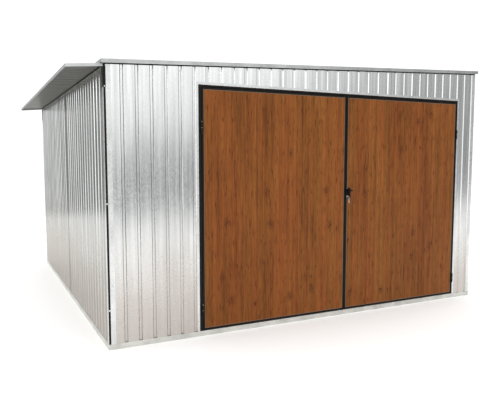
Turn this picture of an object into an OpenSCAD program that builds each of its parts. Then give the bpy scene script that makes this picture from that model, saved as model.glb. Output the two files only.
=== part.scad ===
// Sheet-steel garage with a mono-pitch roof and a pair of side-hung doors.
// The low side is on the left, where the roof runs out into a shallow eave.
// Units are millimetres. Every outer face of the wall sheets lies in the planes
// x = 0, x = body_w, y = 0 and y = body_d of the building's own plan, and site()
// then moves that plan so that the origin is under the middle of the whole box.

/* [Building] */
// Width across the front, outside the wall sheets
body_w = 4000; // [3400:10:5000]
// Depth from front to back, outside the wall sheets
body_d = 4190; // [3400:10:5000]
// Height of the front sheets at the low left corner
wall_low_h = 2250; // [2210:5:2700]
// Height of the front sheets at the high right corner
wall_high_h = 2434; // [2350:5:2950]
// Distance from the front to the joint between the two sheets of a side wall
side_split = 1960; // [1500:10:2400]

/* [Sheets] */
// Thickness of the galvanised sheet
sheet_t = 0.6; // [0.5:0.1:1]
// Overall depth of the wall and roof profile
profile_d = 8; // [6:0.5:12]
// Width of a groove at the face of the sheet
groove_w = 30; // [24:1:36]
// Width of a groove at its bottom
groove_floor_w = 18; // [10:1:22]
// Spacing of the grooves
pitch = 120; // [100:1:140]
// Spacing of the grooves in the narrower-ribbed sheet at the high end of the front
narrow_pitch = 106; // [90:1:120]
// Where the narrower-ribbed sheet over the doors begins
head_split = 2830; // [2400:10:3000]
// Width of the flat strips that close the ends of each wall
strip_w = 40; // [30:1:50]
// Thickness of the flat strips and roof edge trims
strip_t = 1.2; // [0.8:0.1:2]
// How far a strip laps over the corner post and leaves the rest of it bare
strip_lap = 8; // [4:1:14]
// Width of the narrow strips round the doorway
door_strip_w = 22; // [14:1:26]

/* [Frame] */
// Outer size of the square frame tube
tube = 25; // [20:1:30]
// Wall of every tube
tube_t = 1.5; // [1:0.1:2.5]
// Height of a roof purlin
purlin_h = 20; // [16:1:30]
// Number of roof purlins
purlins = 5; // [4:1:7]
// Height of the centre line of the mid-height rails
girt_z = 1110; // [900:5:1400]
// Height of the base angle's upright leg
base_h = 45; // [40:1:60]
// Width of the base angle's flat leg
base_w = 43; // [40:1:60]
// Thickness of the base angle
base_t = 2; // [1.5:0.1:3]

/* [Roof] */
// How far the roof runs past the side walls
roof_side_over = 17; // [14:1:40]
// How far the roof runs past the front and back walls
roof_end_over = 25; // [20:1:60]
// Depth of the verge caps over the roof
verge_d = 190; // [120:5:300]
// Height of the face of the verge caps
verge_h = 31; // [24:1:36]
// How far the eave runs out past the low wall
eave_over = 278; // [150:2:400]
// Fall of the eave, in degrees
eave_fall = 5; // [3:0.5:8]
// Height of the eave's edge trims
eave_trim_h = 24; // [16:1:30]

/* [Doors] */
// Left edge of the left door post
door_x = 777; // [600:1:900]
// Width between the two door posts
door_w = 2940; // [2400:5:3000]
// Height of the underside of the door head
door_top = 2128; // [2000:1:2140]
// Distance from the left post to the gap where the leaves meet
meeting_x = 1489; // [1300:1:1600]
// Clearance round each leaf
leaf_gap = 5; // [5:0.5:8]
// Width of the tube that frames a leaf
leaf_tube_w = 30; // [25:1:40]
// Depth of the tube that frames a leaf
leaf_tube_d = 20; // [16:1:25]
// Thickness of the wood-effect sheet on a leaf
panel_t = 0.7; // [0.5:0.1:1.2]
// How much of the leaf's frame shows round its sheet
panel_inset = 17; // [12:1:22]

/* [Fittings] */
// How far the centre of the upper hinges lies below the door head
hinge_drop = 342; // [278:1:528]
// Height of the centre of the lower hinges
hinge_low_z = 225; // [180:1:400]
// Length of a hinge barrel
hinge_l = 100; // [80:1:140]
// Outer radius of a hinge barrel
hinge_r = 8; // [7:0.5:10]
// Radius of a hinge pin
hinge_pin_r = 4; // [3:0.5:5]
// Running clearance round a hinge pin
pin_clear = 0.05; // [0.02:0.01:0.1]
// Height of the handle's spindle
handle_z = 1222; // [1000:1:1300]
// Length of the handle from its spindle to its tip
handle_l = 72; // [55:1:110]

/* [Hidden] */

GALVANISED = [0.78, 0.79, 0.80];
BLACK = [0.11, 0.10, 0.09];
WOOD_EFFECT = [0.53, 0.33, 0.16];
ZINC = [0.62, 0.62, 0.60];

FRONT = 0;
RIGHT = 1;
BACK = 2;
LEFT = 3;
ALONG_X = 0;
ALONG_Y = 1;
ALONG_Z = 2;

seat = 0.3;            // air between a sheet and what carries it
overcut = 10;          // how far a cutting shape runs past what it cuts
rail_rise = profile_d; // gable rails clear the eave sheet by standing its depth above the walls
frame_y = profile_d + seat;   // outer face of the frame behind the sheets
frame_in = frame_y + tube;    // inner face of that frame

// Roof plane: z is measured square to it, from the line of the sheets' top edges
roof_angle = atan((wall_high_h - wall_low_h) / body_w);
roof_len = body_w / cos(roof_angle);
purlin_z = rail_rise;
roof_sheet_z = purlin_z + purlin_h + seat;
roof_top_z = roof_sheet_z + profile_d;
cap_z = roof_top_z + seat;
cap_top_z = cap_z + strip_t;
roof_sheets = 4;
roof_run_y = body_d + 2 * (roof_end_over - strip_t);
roof_cover = roof_run_y / roof_sheets;
edge_flange = 45;      // flat width of the trims along the low and high edges
edge_h = 26;           // face height of those trims

// Eave: its own plane falls away from the low wall
eave_rest_z = wall_low_h - 2;    // underside of the eave sheet at the wall face
eave_tuck = 17;                  // how far it reaches in under the first purlin
eave_lip = 14;                   // top lip of the edge trims
left_rail_top = eave_rest_z + frame_y * tan(eave_fall) - seat;
right_rail_top = wall_low_h + (body_w - frame_in) * tan(roof_angle) + rail_rise / cos(roof_angle);
eave_end_gap = 3;                // end trims stop this far from the wall
eave_trim_top = profile_d + seat + strip_t;

left_top = wall_low_h - 12;
right_top = wall_high_h + 4;
girt_low = girt_z - tube / 2;

// Doorway, left to right
post_l = door_x;
opening_l = door_x + tube;
opening_r = opening_l + door_w;
post_r = opening_r;
meeting = opening_l + meeting_x;
leaf_low = base_h + leaf_gap;
leaf_high = door_top - leaf_gap;
left_leaf_l = opening_l + leaf_gap;
left_leaf_r = meeting - leaf_gap / 2;
right_leaf_l = meeting + leaf_gap / 2;
right_leaf_r = opening_r - leaf_gap;
head_z = door_top + tube;
bare_left = 25;        // bare width of the left post
bare_right = 8;        // bare width of the right post
bare_head = 15;        // bare height of the head

// Grooves across the front are set out from the left corner in one run
front_first = 140;
narrow_first = head_split + 52;
side_first = 85;

// Hinges stand proud of the front, over the gap beside each post
hinge_y = -(hinge_r + 0.9);
hinge_end_gap = 0.25;
hinge_foot_l = bare_right + leaf_gap / 2 - seat;
hinge_foot_in = 3;
hinge_foot_y = -6;
pin_l = 40;
left_hinge_x = opening_l + leaf_gap / 2;
right_hinge_x = opening_r - leaf_gap / 2;
HINGE_HEIGHTS = [hinge_low_z, door_top - hinge_drop];

// Lock plate and lever handle on the meeting stile of the right leaf
lock_w = 27;
lock_low = handle_z - 84;
lock_high = handle_z + 28;
lock_t = 3;
lock_x = right_leaf_l + 2;
lock_y = -panel_t - lock_t;
handle_x = lock_x + lock_w / 2;
handle_neck_r = 9;
handle_neck_l = 30;
handle_bar_h = 17;
handle_bar_t = 10;
handle_base_y = lock_y - seat;
handle_front_y = handle_base_y - handle_neck_l - handle_bar_t;

// The whole building's box, whose middle becomes the origin
eave_outer_x = -eave_over * cos(eave_fall) - eave_trim_top * sin(eave_fall);
box_left = eave_outer_x;
box_right = (roof_len + roof_side_over) * cos(roof_angle)
  - (cap_top_z - edge_h) * sin(roof_angle);
box_front = handle_front_y;
box_back = body_d + roof_end_over;
centre_x = (box_left + box_right) / 2;
centre_y = (box_front + box_back) / 2;

// ---- frames of reference -------------------------------------------------

module site() {
  translate([-centre_x, -centre_y, 0])
    children();
}

// Local frame of one wall: x from its left end as seen from outside, y inward
module on_wall(side) {
  if (side == FRONT)
    children();
  else if (side == RIGHT)
    translate([body_w, 0, 0]) rotate([0, 0, 90]) children();
  else if (side == BACK)
    translate([body_w, body_d, 0]) rotate([0, 0, 180]) children();
  else
    translate([0, body_d, 0]) rotate([0, 0, -90]) children();
}

function wall_len(side) = side == FRONT || side == BACK ? body_w : body_d;

module on_roof() {
  translate([0, 0, wall_low_h]) rotate([0, -roof_angle, 0]) children();
}

module on_eave() {
  translate([0, 0, eave_rest_z]) rotate([0, -eave_fall, 0]) children();
}

// What is left of the children under the plane rise above the sheets' top edge
module under_roof(rise) {
  intersection() {
    children();
    on_roof()
      translate([-2 * eave_over, -eave_over, rise - 2 * wall_high_h])
        cube([roof_len + 4 * eave_over, body_d + 2 * eave_over, 2 * wall_high_h]);
  }
}

// ---- stock sections --------------------------------------------------------

// Rectangular tube that fills size, open at both ends of one axis
module tube_bar(size, along) {
  bore = [for (i = [0:2]) i == along ? size[i] + 2 * overcut : size[i] - 2 * tube_t];
  start = [for (i = [0:2]) i == along ? -overcut : tube_t];
  difference() {
    cube(size);
    translate(start) cube(bore);
  }
}

// Outline of a grooved sheet from x0 to x1 with grooves centred on the list
function groove_line(x0, x1, grooves, y) = concat(
  [[x0, y]],
  [for (g = grooves, p = [
      [g - groove_w / 2, y], [g - groove_floor_w / 2, y + profile_d - sheet_t],
      [g + groove_floor_w / 2, y + profile_d - sheet_t], [g + groove_w / 2, y]
    ]) p],
  [[x1, y]]
);

function reversed(points) = [for (i = [len(points) - 1:-1:0]) points[i]];

// Groove centres from first on, kept clear of both ends of the sheet
function groove_set(x0, x1, first, step) = [
  for (i = [0:ceil((x1 - first) / step)])
    let (g = first + i * step)
      if (g - groove_w / 2 > x0 + 1 && g + groove_w / 2 < x1 - 1) g
];

module grooved_sheet(x0, x1, h, first, step) {
  grooves = groove_set(x0, x1, first, step);
  linear_extrude(height = h)
    polygon(concat(
      groove_line(x0, x1, grooves, 0),
      reversed(groove_line(x0, x1, grooves, sheet_t))
    ));
}

// Wall sheet standing on the base angle, in a wall's local frame
module wall_sheet(x0, x1, z0, z1, first = side_first, step = pitch) {
  translate([0, 0, z0]) grooved_sheet(x0, x1, z1 - z0, first, step);
}

// Sheet laid flat with its ribs standing up and running along x
module laid_sheet(x0, x1, y0, y1) {
  translate([x0, y0, 0]) rotate([90, 0, 90])
    grooved_sheet(0, y1 - y0, x1 - x0, pitch / 2, pitch);
}

// The children between the planes x = x0 and x = x1
module between_x(x0, x1) {
  intersection() {
    children();
    translate([x0, -body_d, -body_d]) cube([x1 - x0, 3 * body_d, 3 * body_d]);
  }
}

// ---- base ------------------------------------------------------------------

module end_base_rail(side) {
  on_wall(side) {
    translate([-base_t, -base_t, 0])
      cube([wall_len(side) + 2 * base_t, base_w + base_t, base_t]);
    translate([-base_t, -base_t, 0])
      cube([wall_len(side) + 2 * base_t, base_t, base_h]);
  }
}

module side_base_rail(side) {
  on_wall(side) {
    translate([base_w, -base_t, 0])
      cube([wall_len(side) - 2 * base_w, base_w + base_t, base_t]);
    translate([0, -base_t, base_t])
      cube([wall_len(side), base_t, base_h - base_t]);
  }
}

module base_rail_front() { color(GALVANISED) site() end_base_rail(FRONT); }
module base_rail_back() { color(GALVANISED) site() end_base_rail(BACK); }
module base_rail_left() { color(GALVANISED) site() side_base_rail(LEFT); }
module base_rail_right() { color(GALVANISED) site() side_base_rail(RIGHT); }

// ---- black frame -----------------------------------------------------------

// The two low posts stop under the eave sheet, the two high ones under the purlins
module corner_posts() {
  low_h = eave_rest_z - seat - base_t;
  color(BLACK) site() {
    for (side = [FRONT, LEFT])
      on_wall(side) translate([0, 0, base_t]) tube_bar([tube, tube, low_h], ALONG_Z);
    under_roof(rail_rise)
      for (side = [RIGHT, BACK])
        on_wall(side) translate([0, 0, base_t])
          tube_bar([tube, tube, wall_high_h + tube], ALONG_Z);
  }
}

// One post behind each joint between wall sheets
module mid_post(side, x, top) {
  on_wall(side) translate([x - tube / 2, frame_y, base_t])
    tube_bar([tube, tube, top - base_t], ALONG_Z);
}

module mid_posts() {
  color(BLACK) site() {
    mid_post(LEFT, body_d - side_split, left_rail_top - tube);
    mid_post(RIGHT, side_split, right_rail_top - tube);
    under_roof(rail_rise - tube) mid_post(BACK, body_w / 2, wall_high_h);
  }
}

module girt(side, x0, x1) {
  on_wall(side) translate([x0, frame_y, girt_low])
    tube_bar([x1 - x0, tube, tube], ALONG_X);
}

// Where two girts meet at a corner, one reaches the post and the other stops short of it
module wall_girts() {
  half = tube / 2;
  short = frame_in + seat;
  color(BLACK) site() {
    girt(FRONT, tube, post_l);
    girt(LEFT, short, body_d - side_split - half);
    girt(LEFT, body_d - side_split + half, body_d - short);
    girt(RIGHT, tube, side_split - half);
    girt(RIGHT, side_split + half, body_d - short);
    girt(BACK, tube, body_w / 2 - half);
    girt(BACK, body_w / 2 + half, body_w - tube);
  }
}

// Level rails along the tops of the two side walls
module eaves_rail(side, top) {
  on_wall(side) translate([frame_in, frame_y, top - tube])
    tube_bar([body_d - 2 * frame_in, tube, tube], ALONG_X);
}

module eaves_rails() {
  color(BLACK) site() {
    eaves_rail(LEFT, left_rail_top);
    eaves_rail(RIGHT, right_rail_top);
  }
}

// Bar along the slope, between two upright planes
module sloping_bar(x0, x1, y) {
  between_x(x0, x1) on_roof()
    translate([-tube, y, rail_rise - tube])
      tube_bar([roof_len + 2 * tube, tube, tube], ALONG_X);
}

module gable_rails() {
  color(BLACK) site() {
    sloping_bar(tube, body_w - tube, frame_y);
    sloping_bar(tube, body_w - tube, body_d - frame_in);
  }
}

module roof_rafter() {
  color(BLACK) site() sloping_bar(frame_in, body_w - frame_in, side_split - tube / 2);
}

// Purlins lie square on the rails and carry the roof sheets out past both ends
module roof_purlins() {
  first = frame_y / cos(roof_angle);
  step = (roof_len - 2 * first - tube) / (purlins - 1);
  color(BLACK) site() on_roof()
    for (i = [0:purlins - 1])
      translate([first + i * step, strip_t - roof_end_over + 1, purlin_z])
        tube_bar([tube, roof_run_y - 2, purlin_h], ALONG_Y);
}

// ---- doorway frame ---------------------------------------------------------

module door_posts() {
  color(BLACK) site()
    for (x = [post_l, post_r])
      translate([x, 0, base_t])
        tube_bar([tube, tube, door_top - base_t], ALONG_Z);
}

module door_head() {
  color(BLACK) site()
    translate([post_l, 0, door_top])
      tube_bar([post_r + tube - post_l, tube, tube], ALONG_X);
}

// Short posts between the head and the sloping front rail
module head_studs() {
  color(BLACK) site() under_roof(rail_rise - tube)
    for (x = [post_l, meeting - tube / 2, post_r])
      translate([x, frame_y, head_z])
        tube_bar([tube, tube, wall_high_h], ALONG_Z);
}

// ---- wall sheets -----------------------------------------------------------

module front_sheet_left() {
  color(GALVANISED) site() under_roof(0)
    wall_sheet(tube, post_l, base_t, wall_high_h, front_first);
}

module front_sheet_right() {
  color(GALVANISED) site() under_roof(0)
    wall_sheet(post_r + tube, body_w - tube, base_t, wall_high_h, narrow_first, narrow_pitch);
}

module head_sheet_left() {
  color(GALVANISED) site() under_roof(0)
    wall_sheet(post_l, head_split, head_z, wall_high_h, front_first);
}

module head_sheet_right() {
  color(GALVANISED) site() under_roof(0)
    wall_sheet(head_split, post_r + tube, head_z, wall_high_h, narrow_first, narrow_pitch);
}

module left_sheet_front() {
  color(GALVANISED) site() on_wall(LEFT)
    wall_sheet(body_d - side_split, body_d - tube, base_t, left_top);
}

module left_sheet_back() {
  color(GALVANISED) site() on_wall(LEFT)
    wall_sheet(tube, body_d - side_split, base_t, left_top);
}

module right_sheet_front() {
  color(GALVANISED) site() on_wall(RIGHT)
    wall_sheet(tube, side_split, base_t, right_top);
}

module right_sheet_back() {
  color(GALVANISED) site() on_wall(RIGHT)
    wall_sheet(side_split, body_d - tube, base_t, right_top);
}

module back_sheet_left() {
  color(GALVANISED) site() under_roof(0) on_wall(BACK)
    wall_sheet(body_w / 2, body_w - tube, base_t, wall_high_h);
}

module back_sheet_right() {
  color(GALVANISED) site() under_roof(0) on_wall(BACK)
    wall_sheet(tube, body_w / 2, base_t, wall_high_h);
}

// ---- strips over the sheets' ends -------------------------------------------

module strip(side, x0, x1, z0, z1) {
  on_wall(side) translate([x0, -strip_t, z0]) cube([x1 - x0, strip_t, z1 - z0]);
}

// Each wall's left strip leaves its corner post bare; its right strip covers the next one
module wall_strips(side, top) {
  left = tube - strip_lap;
  strip(side, left, left + strip_w, base_h, top);
  strip(side, wall_len(side) - strip_w, wall_len(side), base_h, top);
}

module cover_strips() {
  color(GALVANISED) site() {
    under_roof(0) wall_strips(FRONT, wall_high_h);
    under_roof(0) wall_strips(BACK, wall_high_h);
    wall_strips(LEFT, left_top);
    wall_strips(RIGHT, right_top);
  }
}

module door_strips() {
  strip_top = door_top + bare_head;
  color(GALVANISED) site() {
    strip(FRONT, post_l + tube - bare_left - door_strip_w, post_l + tube - bare_left,
      base_h, strip_top);
    strip(FRONT, post_l + tube - bare_left - door_strip_w, post_r + bare_right + door_strip_w,
      strip_top, strip_top + door_strip_w);
    strip(FRONT, post_r + bare_right, post_r + bare_right + door_strip_w,
      base_h, strip_top);
  }
}

// ---- roof ------------------------------------------------------------------

module roof_sheet(i) {
  y0 = strip_t - roof_end_over + i * roof_cover;
  color(GALVANISED) site() on_roof() translate([0, 0, roof_sheet_z])
    laid_sheet(strip_t - roof_side_over, roof_len + roof_side_over - strip_t, y0, y0 + roof_cover);
}

module roof_sheet_1() { roof_sheet(0); }
module roof_sheet_2() { roof_sheet(1); }
module roof_sheet_3() { roof_sheet(2); }
module roof_sheet_4() { roof_sheet(3); }

// Boxed cap over one end of the roof: face, flat top and two closed ends
module verge_cap() {
  x0 = -roof_side_over;
  run = roof_len + 2 * roof_side_over;
  low = cap_top_z - verge_h;
  end_low = cap_top_z - edge_h;
  translate([x0, -roof_end_over, cap_z]) cube([run, verge_d, strip_t]);
  translate([x0, -roof_end_over, low]) cube([run, strip_t, verge_h]);
  for (x = [x0, x0 + run - strip_t])
    translate([x, -roof_end_over, end_low]) cube([strip_t, verge_d, edge_h]);
}

module verge_caps() {
  color(GALVANISED) site() on_roof() {
    verge_cap();
    translate([0, body_d, 0]) mirror([0, 1, 0]) verge_cap();
  }
}

// Trims along the low and high edges, between the two caps
module roof_edge() {
  y0 = verge_d - roof_end_over;
  run = body_d - 2 * y0;
  translate([-roof_side_over, y0, cap_z]) cube([edge_flange, run, strip_t]);
  translate([-roof_side_over, y0, cap_top_z - edge_h]) cube([strip_t, run, edge_h]);
}

module roof_edges() {
  color(GALVANISED) site() on_roof() {
    roof_edge();
    translate([roof_len, 0, 0]) mirror([1, 0, 0]) roof_edge();
  }
}

// ---- eave ------------------------------------------------------------------

module eave_sheet() {
  color(GALVANISED) site() on_eave()
    laid_sheet(strip_t - eave_over, eave_tuck, 0, body_d);
}

module eave_edge() {
  color(GALVANISED) site() on_eave() {
    translate([-eave_over, -strip_t, eave_trim_top - eave_trim_h])
      cube([strip_t, body_d + 2 * strip_t, eave_trim_h]);
    translate([-eave_over, eave_lip, eave_trim_top - strip_t])
      cube([eave_lip, body_d - 2 * eave_lip, strip_t]);
  }
}

module eave_end(y, lip_y) {
  run = eave_over - strip_t - eave_end_gap;
  translate([strip_t - eave_over, y, eave_trim_top - eave_trim_h])
    cube([run, strip_t, eave_trim_h]);
  translate([strip_t - eave_over, lip_y, eave_trim_top - strip_t])
    cube([run - roof_side_over, eave_lip, strip_t]);
}

module eave_ends() {
  color(GALVANISED) site() on_eave() {
    eave_end(-strip_t, -strip_t);
    eave_end(body_d, body_d + strip_t - eave_lip);
  }
}

// ---- door leaves -----------------------------------------------------------

module leaf_stiles(x0, x1) {
  color(BLACK) site()
    for (x = [x0, x1 - leaf_tube_w])
      translate([x, 0, leaf_low])
        tube_bar([leaf_tube_w, leaf_tube_d, leaf_high - leaf_low], ALONG_Z);
}

module leaf_rails(x0, x1) {
  color(BLACK) site()
    for (z = [leaf_low, girt_z - leaf_tube_w / 2, leaf_high - leaf_tube_w])
      translate([x0 + leaf_tube_w, 0, z])
        tube_bar([x1 - x0 - 2 * leaf_tube_w, leaf_tube_d, leaf_tube_w], ALONG_X);
}

module leaf_panel(x0, x1) {
  color(WOOD_EFFECT) site()
    translate([x0 + panel_inset, -panel_t, leaf_low + panel_inset])
      cube([x1 - x0 - 2 * panel_inset, panel_t, leaf_high - leaf_low - 2 * panel_inset]);
}

module left_leaf_stiles() { leaf_stiles(left_leaf_l, left_leaf_r); }
module left_leaf_rails() { leaf_rails(left_leaf_l, left_leaf_r); }
module left_leaf_panel() { leaf_panel(left_leaf_l, left_leaf_r); }
module right_leaf_stiles() { leaf_stiles(right_leaf_l, right_leaf_r); }
module right_leaf_rails() { leaf_rails(right_leaf_l, right_leaf_r); }
module right_leaf_panel() { leaf_panel(right_leaf_l, right_leaf_r); }

// ---- hinges ----------------------------------------------------------------

// Foot that joins a barrel to the face beside it: dir is -1 to the left, 1 to the right
module hinge_foot(dir, h) {
  translate([dir > 0 ? hinge_foot_in : -hinge_foot_l, hinge_foot_y - hinge_y, 0])
    cube([hinge_foot_l - hinge_foot_in, -hinge_foot_y, h]);
}

// Lower half with its pin, on the post
module hinge_post_half(x, z, dir) {
  h = hinge_l / 2 - hinge_end_gap;
  translate([x, hinge_y, z - hinge_l / 2]) {
    cylinder(r = hinge_r, h = h, $fn = 48);
    hinge_foot(dir, h);
    cylinder(r = hinge_pin_r, h = hinge_l / 2 + pin_l, $fn = 48);
  }
}

// Upper half on the leaf, bored for the pin
module hinge_leaf_half(x, z, dir) {
  h = hinge_l / 2 - hinge_end_gap;
  translate([x, hinge_y, z + hinge_end_gap])
    difference() {
      union() {
        cylinder(r = hinge_r, h = h, $fn = 48);
        hinge_foot(dir, h);
      }
      translate([0, 0, -1])
        cylinder(r = hinge_pin_r + pin_clear, h = pin_l + 2, $fn = 48);
    }
}

module hinge_pins() {
  color(ZINC) site()
    for (z = HINGE_HEIGHTS) {
      hinge_post_half(left_hinge_x, z, -1);
      hinge_post_half(right_hinge_x, z, 1);
    }
}

module left_hinge_knuckles() {
  color(BLACK) site()
    for (z = HINGE_HEIGHTS) hinge_leaf_half(left_hinge_x, z, 1);
}

module right_hinge_knuckles() {
  color(BLACK) site()
    for (z = HINGE_HEIGHTS) hinge_leaf_half(right_hinge_x, z, -1);
}

// ---- lock and handle -------------------------------------------------------

module lock_plate() {
  color(BLACK) site()
    translate([lock_x, lock_y, lock_low]) cube([lock_w, lock_t, lock_high - lock_low]);
}

module lever_handle() {
  color(BLACK) site() translate([handle_x, handle_base_y, handle_z]) {
    rotate([90, 0, 0]) cylinder(r = handle_neck_r, h = handle_neck_l + handle_bar_t, $fn = 48);
    translate([0, -handle_neck_l - handle_bar_t, -handle_bar_h / 2])
      cube([handle_l - handle_bar_h / 2, handle_bar_t, handle_bar_h]);
    translate([handle_l - handle_bar_h / 2, -handle_neck_l, 0])
      rotate([90, 0, 0]) cylinder(r = handle_bar_h / 2, h = handle_bar_t, $fn = 48);
  }
}

base_rail_front();
base_rail_back();
base_rail_left();
base_rail_right();
corner_posts();
mid_posts();
wall_girts();
eaves_rails();
gable_rails();
roof_rafter();
roof_purlins();
door_posts();
door_head();
head_studs();
front_sheet_left();
front_sheet_right();
head_sheet_left();
head_sheet_right();
left_sheet_front();
left_sheet_back();
right_sheet_front();
right_sheet_back();
back_sheet_left();
back_sheet_right();
roof_sheet_1();
roof_sheet_2();
roof_sheet_3();
roof_sheet_4();
cover_strips();
door_strips();
verge_caps();
roof_edges();
eave_sheet();
eave_edge();
eave_ends();
left_leaf_stiles();
left_leaf_rails();
left_leaf_panel();
right_leaf_stiles();
right_leaf_rails();
right_leaf_panel();
hinge_pins();
left_hinge_knuckles();
right_hinge_knuckles();
lock_plate();
lever_handle();
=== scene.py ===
"""Finishes, fasteners and small fittings of a sheet-steel garage with wood-effect doors.

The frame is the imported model: every length here is in metres in its own axes, with the front of
the garage towards -Y, its low side towards -X, and the floor at z = 0.
"""

import math

import bpy
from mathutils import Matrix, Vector


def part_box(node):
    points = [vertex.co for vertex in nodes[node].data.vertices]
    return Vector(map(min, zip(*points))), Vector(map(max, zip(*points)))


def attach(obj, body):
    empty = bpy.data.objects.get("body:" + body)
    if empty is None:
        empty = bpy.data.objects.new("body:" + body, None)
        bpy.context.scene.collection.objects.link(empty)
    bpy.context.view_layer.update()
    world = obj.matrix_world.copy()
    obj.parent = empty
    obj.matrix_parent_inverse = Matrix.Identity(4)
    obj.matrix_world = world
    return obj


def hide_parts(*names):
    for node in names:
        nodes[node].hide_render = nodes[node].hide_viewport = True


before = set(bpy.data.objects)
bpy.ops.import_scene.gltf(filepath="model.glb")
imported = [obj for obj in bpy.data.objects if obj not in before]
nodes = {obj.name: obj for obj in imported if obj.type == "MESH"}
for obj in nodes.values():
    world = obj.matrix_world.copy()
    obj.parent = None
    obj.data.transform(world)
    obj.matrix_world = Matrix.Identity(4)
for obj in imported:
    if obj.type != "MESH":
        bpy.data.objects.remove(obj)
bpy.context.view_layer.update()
scene = bpy.context.scene

MM = 0.001
FRONT = Vector((0, -1, 0))
BACK = Vector((0, 1, 0))
LEFT = Vector((-1, 0, 0))
RIGHT = Vector((1, 0, 0))
UP = Vector((0, 0, 1))

# Sizes of the stock sections, from the construction
PITCH = 120 * MM
NARROW_PITCH = 106 * MM
GROOVE_DEPTH = 7.4 * MM
TUBE = 25 * MM
STRIP_T = 1.2 * MM
STRIP_W = 40 * MM
DOOR_STRIP_W = 22 * MM


def low(node):
    return Vector(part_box(node)[0])


def high(node):
    return Vector(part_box(node)[1])


# ---- nodes and colours -----------------------------------------------------------------------

def colour(code):
    """A hex sRGB colour as linear values with alpha."""
    parts = [int(code[i:i + 2], 16) / 255 for i in (0, 2, 4)]
    values = [p / 12.92 if p <= 0.04045 else ((p + 0.055) / 1.055) ** 2.4 for p in parts]
    return (*values, 1.0)


def add(tree, kind, inputs=None, stops=None, **settings):
    """Adds one node. Inputs are values or the sockets that feed them; stops fill a colour ramp."""
    made = tree.nodes.new(kind)
    for key, value in settings.items():
        setattr(made, key, value)
    for i, (place, code) in enumerate(stops or []):
        spots = made.color_ramp.elements
        spot = spots[i] if i < 2 else spots.new(place)
        spot.position = place
        spot.color = colour(code)
    for key, value in (inputs or {}).items():
        if isinstance(value, bpy.types.NodeSocket):
            tree.links.new(value, made.inputs[key])
        else:
            made.inputs[key].default_value = value
    return made


def blank_material(name):
    """A material with one Principled shader; returns the material, its tree and the shader."""
    material = bpy.data.materials.new(name)
    material.use_nodes = True
    tree = material.node_tree
    tree.nodes.clear()
    shader = add(tree, "ShaderNodeBsdfPrincipled")
    add(tree, "ShaderNodeOutputMaterial", {"Surface": shader.outputs["BSDF"]})
    return material, tree, shader


# ---- materials -------------------------------------------------------------------------------

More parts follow.
